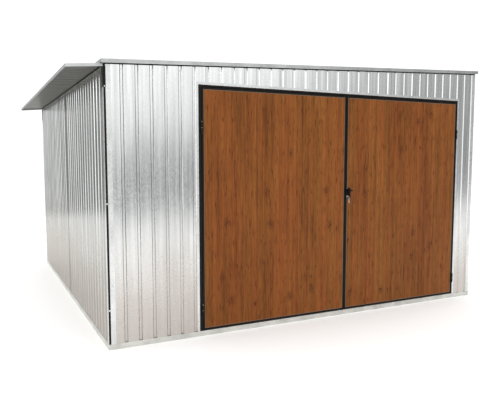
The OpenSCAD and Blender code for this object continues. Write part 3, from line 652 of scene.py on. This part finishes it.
# Bolts through the bare face of each corner post
BOLT_HEIGHTS = (322 * MM, 1174 * MM, 2084 * MM)
BOLT_INSET = 8.5 * MM
bolts = []
for z in BOLT_HEIGHTS:
    for at, facing in (((wall_left + BOLT_INSET, wall_front), FRONT),
                       ((wall_right, wall_front + BOLT_INSET), RIGHT),
                       ((wall_right - BOLT_INSET, wall_back), BACK),
                       ((wall_left, wall_back - BOLT_INSET), LEFT)):
        bolts.append(placed(BOLT_HEAD, (*at, z), facing))
        bolts.append(placed(BOLT_WASHER, (*at, z), facing))
piece("corner_bolts", bolts, bright_zinc, "building")

# Brackets under the eave, folded round the two low corners
BRACKET_TOP = 2236 * MM
BRACKET_H = 160 * MM
BRACKET_T = 2 * MM
FRONT_ARM = 20 * MM
SIDE_ARM = 52 * MM
bracket_x = wall_left - STRIP_T
bracket_z = BRACKET_TOP - BRACKET_H
brackets = []
for corner_y, out in ((wall_front, -1), (wall_back, 1)):
    bracket_y = corner_y + out * STRIP_T
    brackets.append(placed(block(FRONT_ARM + BRACKET_T, BRACKET_T, BRACKET_H),
                           (bracket_x + (FRONT_ARM - BRACKET_T) / 2,
                            bracket_y + out * BRACKET_T / 2, bracket_z)))
    brackets.append(placed(block(BRACKET_T, SIDE_ARM, BRACKET_H),
                           (bracket_x - BRACKET_T / 2, bracket_y - out * SIDE_ARM / 2, bracket_z)))
piece("eave_brackets", brackets, black_enamel, "building", bevel=0.6 * MM,
      smooth=False)

# Dark strips along the laps where two wall sheets meet, in the black rubber finish: a painted shadow
# of each lap. They stop short of the trims
LAP_SHADOW_T = 1.0 * MM
LAP_SHADOW_W = 3.5 * MM
HEAD_LAP_SHADOW_W = 3.0 * MM
back_lap_x = low("back_sheet_left").x
head_lap_x = low("head_sheet_right").x
lap_shadows = []
for sheet, face_x, facing in (("left_sheet_front", wall_left, LEFT),
                              ("right_sheet_front", wall_right, RIGHT)):
    lap_shadows.append(placed(block(LAP_SHADOW_T, LAP_SHADOW_W, high(sheet).z - base_h),
                       (face_x + facing.x * LAP_SHADOW_T / 2, high(sheet).y, base_h)))
lap_shadows.append(placed(block(LAP_SHADOW_W, LAP_SHADOW_T, sheet_top(back_lap_x) - base_h - 2 * MM),
                   (back_lap_x, wall_back + LAP_SHADOW_T / 2, base_h)))
lap_shadows.append(placed(block(HEAD_LAP_SHADOW_W, LAP_SHADOW_T, sheet_top(head_lap_x) - strip_high.z - 3 * MM),
                   (head_lap_x, wall_front - LAP_SHADOW_T / 2, strip_high.z)))
piece("painted_lap_shadows", lap_shadows, rubber, "building", bevel=0.3 * MM)

# Rivets along the front verge cap and the eave's edge trim, set into their faces a touch
cap_low = low("verge_caps")
cap_high = high("verge_caps")
eave_low = low("eave_edge")
trim_rivets = []
for x in spaced(wall_left + 90 * MM, wall_right - 90 * MM, 380 * MM):
    z = cap_high.z - 16 * MM - roof_slope * (cap_high.x - x)
    trim_rivets.append(placed(RIVET, (x, cap_low.y + 0.1 * MM, z), FRONT))
for y in spaced(wall_front + 120 * MM, wall_back - 120 * MM, 400 * MM):
    trim_rivets.append(placed(RIVET, (eave_low.x + 2.1 * MM, y, eave_low.z + 11 * MM), LEFT))
piece("trim_rivets", trim_rivets, rivet_steel, "building")

# Roof screws with rubber washers in every other valley, over each of the five purlins
purlin_low = low("roof_purlins")
purlin_high = high("roof_purlins")
roof_low = low("roof_sheet_1")
roof_up = Vector((-roof_slope, 0, 1)).normalized()
purlin_rows = spaced(purlin_low.x + TUBE / 2, purlin_high.x - TUBE / 2,
                     (purlin_high.x - purlin_low.x) / 3.9)
# Screws stay this far inside the front and back walls
screw_margin = 150 * MM
rubber_rings = []
screw_heads = []
for i in range(2, 35, 2):
    y = roof_low.y + PITCH * i
    if not wall_front + screw_margin <= y <= wall_back - screw_margin:
        continue
    for x in purlin_rows:
        valley = (x, y, roof_low.z + 1.2 * MM + roof_slope * (x - roof_low.x))
        rubber_rings.append(placed(SCREW_RUBBER, valley, roof_up))
        screw_heads.append(placed(SCREW_FLANGE, valley, roof_up))
        screw_heads.append(placed(SCREW_HEAD, valley, roof_up))
piece("roof_screw_washers", rubber_rings, rubber, "building")
piece("roof_screws", screw_heads, bright_zinc, "building")


# ---- door leaves -------------------------------------------------------------------------------

def rim(corner_low, corner_high, width, depth):
    """A flat mitred frame round a door sheet, depth proud of its front face."""
    front_y = corner_low.y - depth
    rear_y = corner_low.y
    points = []
    for y in (front_y, rear_y):
        for inset in (0.0, width):
            x0 = corner_low.x + inset
            x1 = corner_high.x - inset
            z0 = corner_low.z + inset
            z1 = corner_high.z - inset
            points += [Vector((x0, y, z0)), Vector((x1, y, z0)), Vector((x1, y, z1)),
                       Vector((x0, y, z1))]
    faces = []
    for i in range(4):
        j = (i + 1) % 4
        faces.append((i, j, 4 + j, 4 + i))
        faces.append((8 + j, 8 + i, 12 + i, 12 + j))
        faces.append((i, 8 + i, 8 + j, j))
        faces.append((4 + i, 4 + j, 12 + j, 12 + i))
    return points, faces


def weld_bead(start, end, radius):
    """A ripple of weld metal along a joint: a chain of flattened drops."""
    count = max(3, int((end - start).length / (radius * 0.9)))
    along = (end - start).normalized()
    drop = turned([(radius * 0.2, -radius * 0.9), (radius * 0.8, -radius * 0.5),
                   (radius, 0), (radius * 0.8, radius * 0.5), (radius * 0.2, radius * 0.9)], 8)
    return [placed(drop, start + (end - start) * i / (count - 1), along) for i in range(count)]


HEM_W = 4.0 * MM
HEM_T = 0.9 * MM
WELD_R = 2.4 * MM
# A weld runs along the width of a rail, a little short of its edges
WELD_GAP = 2 * MM
WELD_END = 28 * MM
GIRT_WELD = 13 * MM
STILE_MID = 15 * MM
PLUG = block(28 * MM, 18 * MM, 2 * MM)
# The hinge barrels: how far the pin stands off the post, its radius, and the leaf's knuckle
PIN_OFFSET = 2.5 * MM
BARREL_R = 8 * MM
KNUCKLE_H = 49.5 * MM
WASHER_DROP = 49.8 * MM
HINGE_CAP = turned([(7.6 * MM, 0), (7.8 * MM, 0.8 * MM), (6.8 * MM, 2.4 * MM),
                    (4.2 * MM, 3.8 * MM), (1.0 * MM, 4.4 * MM)], 24)

for side, hinge_x in (("left", post_l + TUBE + PIN_OFFSET), ("right", post_r - TUBE - PIN_OFFSET)):
    body = side + "_leaf"
    panel_low = low(side + "_leaf_panel")
    panel_high = high(side + "_leaf_panel")
    piece(side + "_door_sheet_hem", [rim(panel_low, panel_high, HEM_W, HEM_T)], cut_edge, body,
          bevel=0.4 * MM)
    rivets = []
    for z in spaced(panel_low.z + 60 * MM, panel_high.z - 60 * MM, 320 * MM):
        for x in (panel_low.x + 13 * MM, panel_high.x - 13 * MM):
            rivets.append(placed(RIVET, (x, panel_low.y, z), FRONT))
    for x in spaced(panel_low.x + 90 * MM, panel_high.x - 90 * MM, 330 * MM):
        for z in (panel_low.z + 12 * MM, panel_high.z - 12 * MM):
            rivets.append(placed(RIVET, (x, panel_low.y, z), FRONT))
    piece(side + "_door_sheet_rivets", rivets, brown_rivet, body)
    # Weld beads where the rails of the leaf meet its stiles
    stile_low = low(side + "_leaf_stiles")
    stile_high = high(side + "_leaf_stiles")
    rail_low = low(side + "_leaf_rails")
    rail_high = high(side + "_leaf_rails")
    beads = []
    for x in (rail_low.x, rail_high.x):
        for z0, z1 in ((rail_low.z + WELD_GAP, rail_low.z + WELD_END),
                       (girt_z - GIRT_WELD, girt_z + GIRT_WELD),
                       (rail_high.z - WELD_END, rail_high.z - WELD_GAP)):
            beads += weld_bead(Vector((x, rail_high.y, z0)), Vector((x, rail_high.y, z1)), WELD_R)
    piece(side + "_leaf_welds", beads, black_enamel, body)
    # Plastic plugs in the open ends of the stiles
    plugs = []
    for x in (stile_low.x + STILE_MID, stile_high.x - STILE_MID):
        y = (stile_low.y + stile_high.y) / 2
        plugs.append(placed(PLUG, (x, y, stile_high.z)))
        plugs.append(placed(PLUG, (x, y, stile_low.z), -UP))
    piece(side + "_stile_plugs", plugs, rubber, body, bevel=0.7 * MM)
    # Polished cap on each hinge barrel and the brass washer it turns on
    knuckle_low = low(side + "_hinge_knuckles")
    hinge_y = knuckle_low.y + BARREL_R
    caps = []
    washers = []
    for top_z in (high(side + "_hinge_knuckles").z, knuckle_low.z + KNUCKLE_H):
        caps.append(placed(HINGE_CAP, (hinge_x, hinge_y, top_z)))
        washers.append(placed(wire_ring(BARREL_R, 0.9 * MM),
                              (hinge_x, hinge_y, top_z - WASHER_DROP)))
    piece(side + "_hinge_caps", caps, bright_zinc, body)
    piece(side + "_hinge_washers", washers, brass, "building")


# ---- lock and handle ---------------------------------------------------------------------------

plate_low = low("lock_plate")
plate_high = high("lock_plate")
plate_mid = (plate_low + plate_high) / 2
plate_size = plate_high - plate_low
plate = block(plate_size.x, plate_size.z, plate_size.y)
plate_piece = piece("lock_back_plate",
                    [placed(plate, (plate_mid.x, plate_high.y, plate_mid.z), FRONT)],
                    black_cast, "right_leaf", bevel=1.2 * MM)
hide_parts("lock_plate")

# Case of the rim lock, beside the plate on the door sheet and let 2 mm under its edge
case_w = 25 * MM
case_t = 11 * MM
case = block(case_w, plate_size.z - 14 * MM, case_t)
panel_face = low("right_leaf_panel").y
piece("lock_case", [placed(case, (plate_high.x + case_w / 2 - 2 * MM, panel_face, plate_mid.z),
                           FRONT)], black_cast, "right_leaf", bevel=2 * MM)

plate_screw = turned([(3.6 * MM, 0), (3.4 * MM, 0.9 * MM), (2.0 * MM, 1.5 * MM),
                      (0.3 * MM, 1.6 * MM)], 16)
screws = [placed(plate_screw, (plate_mid.x, plate_low.y, z), FRONT)
          for z in (plate_low.z + 8 * MM, plate_high.z - 8 * MM)]
piece("lock_plate_screws", screws, bright_zinc, "right_leaf")

# Round cylinder with a raised rim, a key in it, and a ring that carries the spare
cylinder_z = plate_low.z + 27 * MM
cylinder = turned([(8.5 * MM, 0), (8.5 * MM, 3.2 * MM), (7.6 * MM, 4.2 * MM), (6.4 * MM, 3.4 * MM),
                   (0.5 * MM, 3.4 * MM)], 28)
piece("lock_cylinder", [placed(cylinder, (plate_mid.x, plate_low.y, cylinder_z), FRONT)],
      nickel_key, "right_leaf")


def key(bow_r, blade_l):
    """A flat key standing on z = 0: a toothed blade up to a round bow with a hole."""
    thick = 1.9 * MM
    rod = 2.2 * MM
    shapes = [placed(block(thick, 6.5 * MM, blade_l), (0, 0, 0))]
    for i in range(5):
        shapes.append(placed(block(thick, 1.6 * MM, 2.2 * MM),
                             (0, 3.8 * MM, (3 + 4.2 * i) * MM)))
    bow = wire_ring(bow_r - rod, rod, 24, 8)
    shapes.append(placed(bow, (0, 0, blade_l + bow_r - 2 * MM), RIGHT))
    return shapes


def placed_group(shapes, spot, facing, roll=0.0):
    """Every shape of a group placed together."""
    return [placed(shape, spot, facing, roll) for shape in shapes]


key_y = plate_low.y - 3.4 * MM
bow_y = key_y - 18 * MM
in_lock = placed_group(key(9 * MM, 8 * MM), (plate_mid.x, key_y, cylinder_z), FRONT)
ring = placed(wire_ring(11 * MM, 1.0 * MM, 32, 8),
              (plate_mid.x + 6 * MM, bow_y, cylinder_z - 12 * MM), Vector((0.3, -1, 0.1)))
spare = placed_group(key(10 * MM, 30 * MM),
                     (plate_mid.x + 12 * MM, bow_y - 1 * MM, cylinder_z - 65 * MM),
                     Vector((-0.16, 0, 1)).normalized(), math.radians(35))
piece("keys", in_lock + spare + [ring], nickel_key, "right_leaf")

# Lever: a collar on the plate, a round neck and a grip that curves back towards the door
GRIP_L = 55 * MM
GRIP_SWEEP = 9 * MM
GRIP_DROP = 3.5 * MM
GRIP_HALF_T = 5.8 * MM
GRIP_HALF_H = 8.8 * MM
NECK_R = 8.5 * MM
NECK_L = 31 * MM
RINGS = 15
SIDES = 16
grip_low = low("lever_handle")
grip_high = high("lever_handle")
spindle = Vector((plate_mid.x, grip_high.y, (grip_low.z + grip_high.z) / 2))
collar = turned([(12.5 * MM, 0.2 * MM), (12.5 * MM, 2.6 * MM), (11.0 * MM, 4.4 * MM),
                 (8.6 * MM, 4.9 * MM), (0.5 * MM, 4.9 * MM)], 32)
neck = turned([(NECK_R, 0.4 * MM), (NECK_R, NECK_L * 0.3), (NECK_R * 0.82, NECK_L * 0.6),
               (NECK_R * 0.9, NECK_L), (NECK_R * 0.5, NECK_L + 4 * MM),
               (0.4 * MM, NECK_L + 5 * MM)], 28)
grip_points = []
grip_faces = []
for i in range(RINGS):
    t = i / (RINGS - 1)
    mid = spindle + Vector((-3 * MM + GRIP_L * t, GRIP_SWEEP * t * t - NECK_L - 0.5 * MM,
                            -GRIP_DROP * t * t))
    # The grip thins towards its tip, and both of its ends are rounded off
    taper = 1.0 - 0.28 * t
    taper *= math.sin(math.pi / 2 * min(1.0, (1 - t) / 0.12 + 0.15, t / 0.1 + 0.35))
    for k in range(SIDES):
        angle = 2 * math.pi * k / SIDES
        grip_points.append(mid + Vector((0, math.cos(angle) * GRIP_HALF_T * taper,
                                         math.sin(angle) * GRIP_HALF_H * taper)))
for i in range(RINGS - 1):
    for k in range(SIDES):
        n = (k + 1) % SIDES
        grip_faces.append((i * SIDES + k, i * SIDES + n, (i + 1) * SIDES + n,
                           (i + 1) * SIDES + k))
grip_faces.append(tuple(range(SIDES - 1, -1, -1)))
grip_faces.append(tuple(range((RINGS - 1) * SIDES, RINGS * SIDES)))
lever = piece("lever", [placed(neck, spindle, FRONT), (grip_points, grip_faces)], black_cast,
              "handle")
rounding = lever.modifiers.new("smooth_casting", "SUBSURF")
rounding.levels = 1
rounding.render_levels = 1
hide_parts("lever_handle")
piece("lever_collar", [placed(collar, (spindle.x, plate_low.y, spindle.z), FRONT)], black_cast,
      "right_leaf")


# ---- floor, light and camera -------------------------------------------------------------------

FLOOR_SIDE = 16.0
FLOOR_FRONT = -11.0
FLOOR_BACK = 9.0
floor_mesh = bpy.data.meshes.new("studio_floor")
floor_mesh.from_pydata([(-FLOOR_SIDE, FLOOR_FRONT, 0), (FLOOR_SIDE, FLOOR_FRONT, 0),
                        (FLOOR_SIDE, FLOOR_BACK, 0), (-FLOOR_SIDE, FLOOR_BACK, 0)],
                       [], [(0, 1, 2, 3)])
floor = bpy.data.objects.new("studio_floor", floor_mesh)
scene.collection.objects.link(floor)
floor_paint, _, floor_shader = blank_material("matt_white_floor")
floor_shader.inputs["Base Color"].default_value = colour("F9F9F8")
floor_shader.inputs["Roughness"].default_value = 0.9
floor_shader.inputs["Specular IOR Level"].default_value = 0.1
floor_mesh.materials.append(floor_paint)

# Studio light: an even white surround, brighter overhead, with soft grey panels off the front
# right, off the back left and low in front, and a bright one off the low side, for the steel
# to reflect
HORIZON_LIGHT = 1.12
OVERHEAD_LIGHT = 1.5
BACKDROP_LIGHT = 1.15
world = bpy.data.worlds.new("studio")
scene.world = world
world.use_nodes = True
sky = world.node_tree
sky.nodes.clear()
direction = add(sky, "ShaderNodeTexCoord").outputs["Generated"]
rise = add(sky, "ShaderNodeSeparateXYZ", {0: direction}).outputs["Z"]
level = add(sky, "ShaderNodeMapRange", {0: rise, 1: 0.0, 2: 0.35, 3: HORIZON_LIGHT,
            4: OVERHEAD_LIGHT}, interpolation_type="SMOOTHSTEP").outputs[0]


def toward(azimuth, elevation, flatten):
    """Direction at so many degrees clockwise from +Y and above the horizon, on a flattened sky."""
    a = math.radians(azimuth)
    e = math.radians(elevation)
    aim = Vector((math.sin(a) * math.cos(e), math.cos(a) * math.cos(e), math.sin(e) * flatten))
    return tuple(aim.normalized())


PANELS = [
    # azimuth, elevation, times wider than high, full within, gone beyond, how dark
    (118, 3, 1.2, 12, 38, 0.67),
    (-25, -1, 1.5, 14, 25, 0.68),
    (156, -3.5, 3.2, 12, 23, 0.70),
    (-98, 8, 1.0, 14, 34, -0.45),
]
for azimuth, elevation, flatten, inner, outer, depth in PANELS:
    flat = add(sky, "ShaderNodeVectorMath", {0: direction, 1: (1.0, 1.0, flatten)},
               operation="MULTIPLY").outputs["Vector"]
    flat = add(sky, "ShaderNodeVectorMath", {0: flat}, operation="NORMALIZE").outputs["Vector"]
    nearness = add(sky, "ShaderNodeVectorMath", {0: flat, 1: toward(azimuth, elevation, flatten)},
                   operation="DOT_PRODUCT").outputs["Value"]
    cover = add(sky, "ShaderNodeMapRange", {0: nearness, 1: math.cos(math.radians(outer)),
                2: math.cos(math.radians(inner)), 3: 1.0, 4: 1.0 - depth},
                interpolation_type="SMOOTHSTEP").outputs[0]
    level = add(sky, "ShaderNodeMath", {0: level, 1: cover}, operation="MULTIPLY").outputs[0]
# The backdrop itself is plain white
plain = add(sky, "ShaderNodeLightPath").outputs["Is Camera Ray"]
level = add(sky, "ShaderNodeMix", {0: plain, 2: level, 3: BACKDROP_LIGHT},
            data_type="FLOAT").outputs[0]
backdrop = add(sky, "ShaderNodeBackground", {"Color": (1.0, 1.0, 1.0, 1.0), "Strength": level})
add(sky, "ShaderNodeOutputWorld", {"Surface": backdrop.outputs[0]})

# Camera at standing height, a little over four metres in front of the low corner
near_corner = low("base_rail_front")
camera_data = bpy.data.cameras.new("camera")
camera_data.lens = 39.42
camera_data.sensor_width = 36.0
camera = bpy.data.objects.new("camera", camera_data)
camera.location = (near_corner.x - 0.906, near_corner.y - 4.312, 1.5295)
camera.rotation_euler = (math.radians(84.94), 0.0, math.radians(-26.67))
scene.collection.objects.link(camera)
scene.camera = camera
scene.view_settings.view_transform = "Standard"
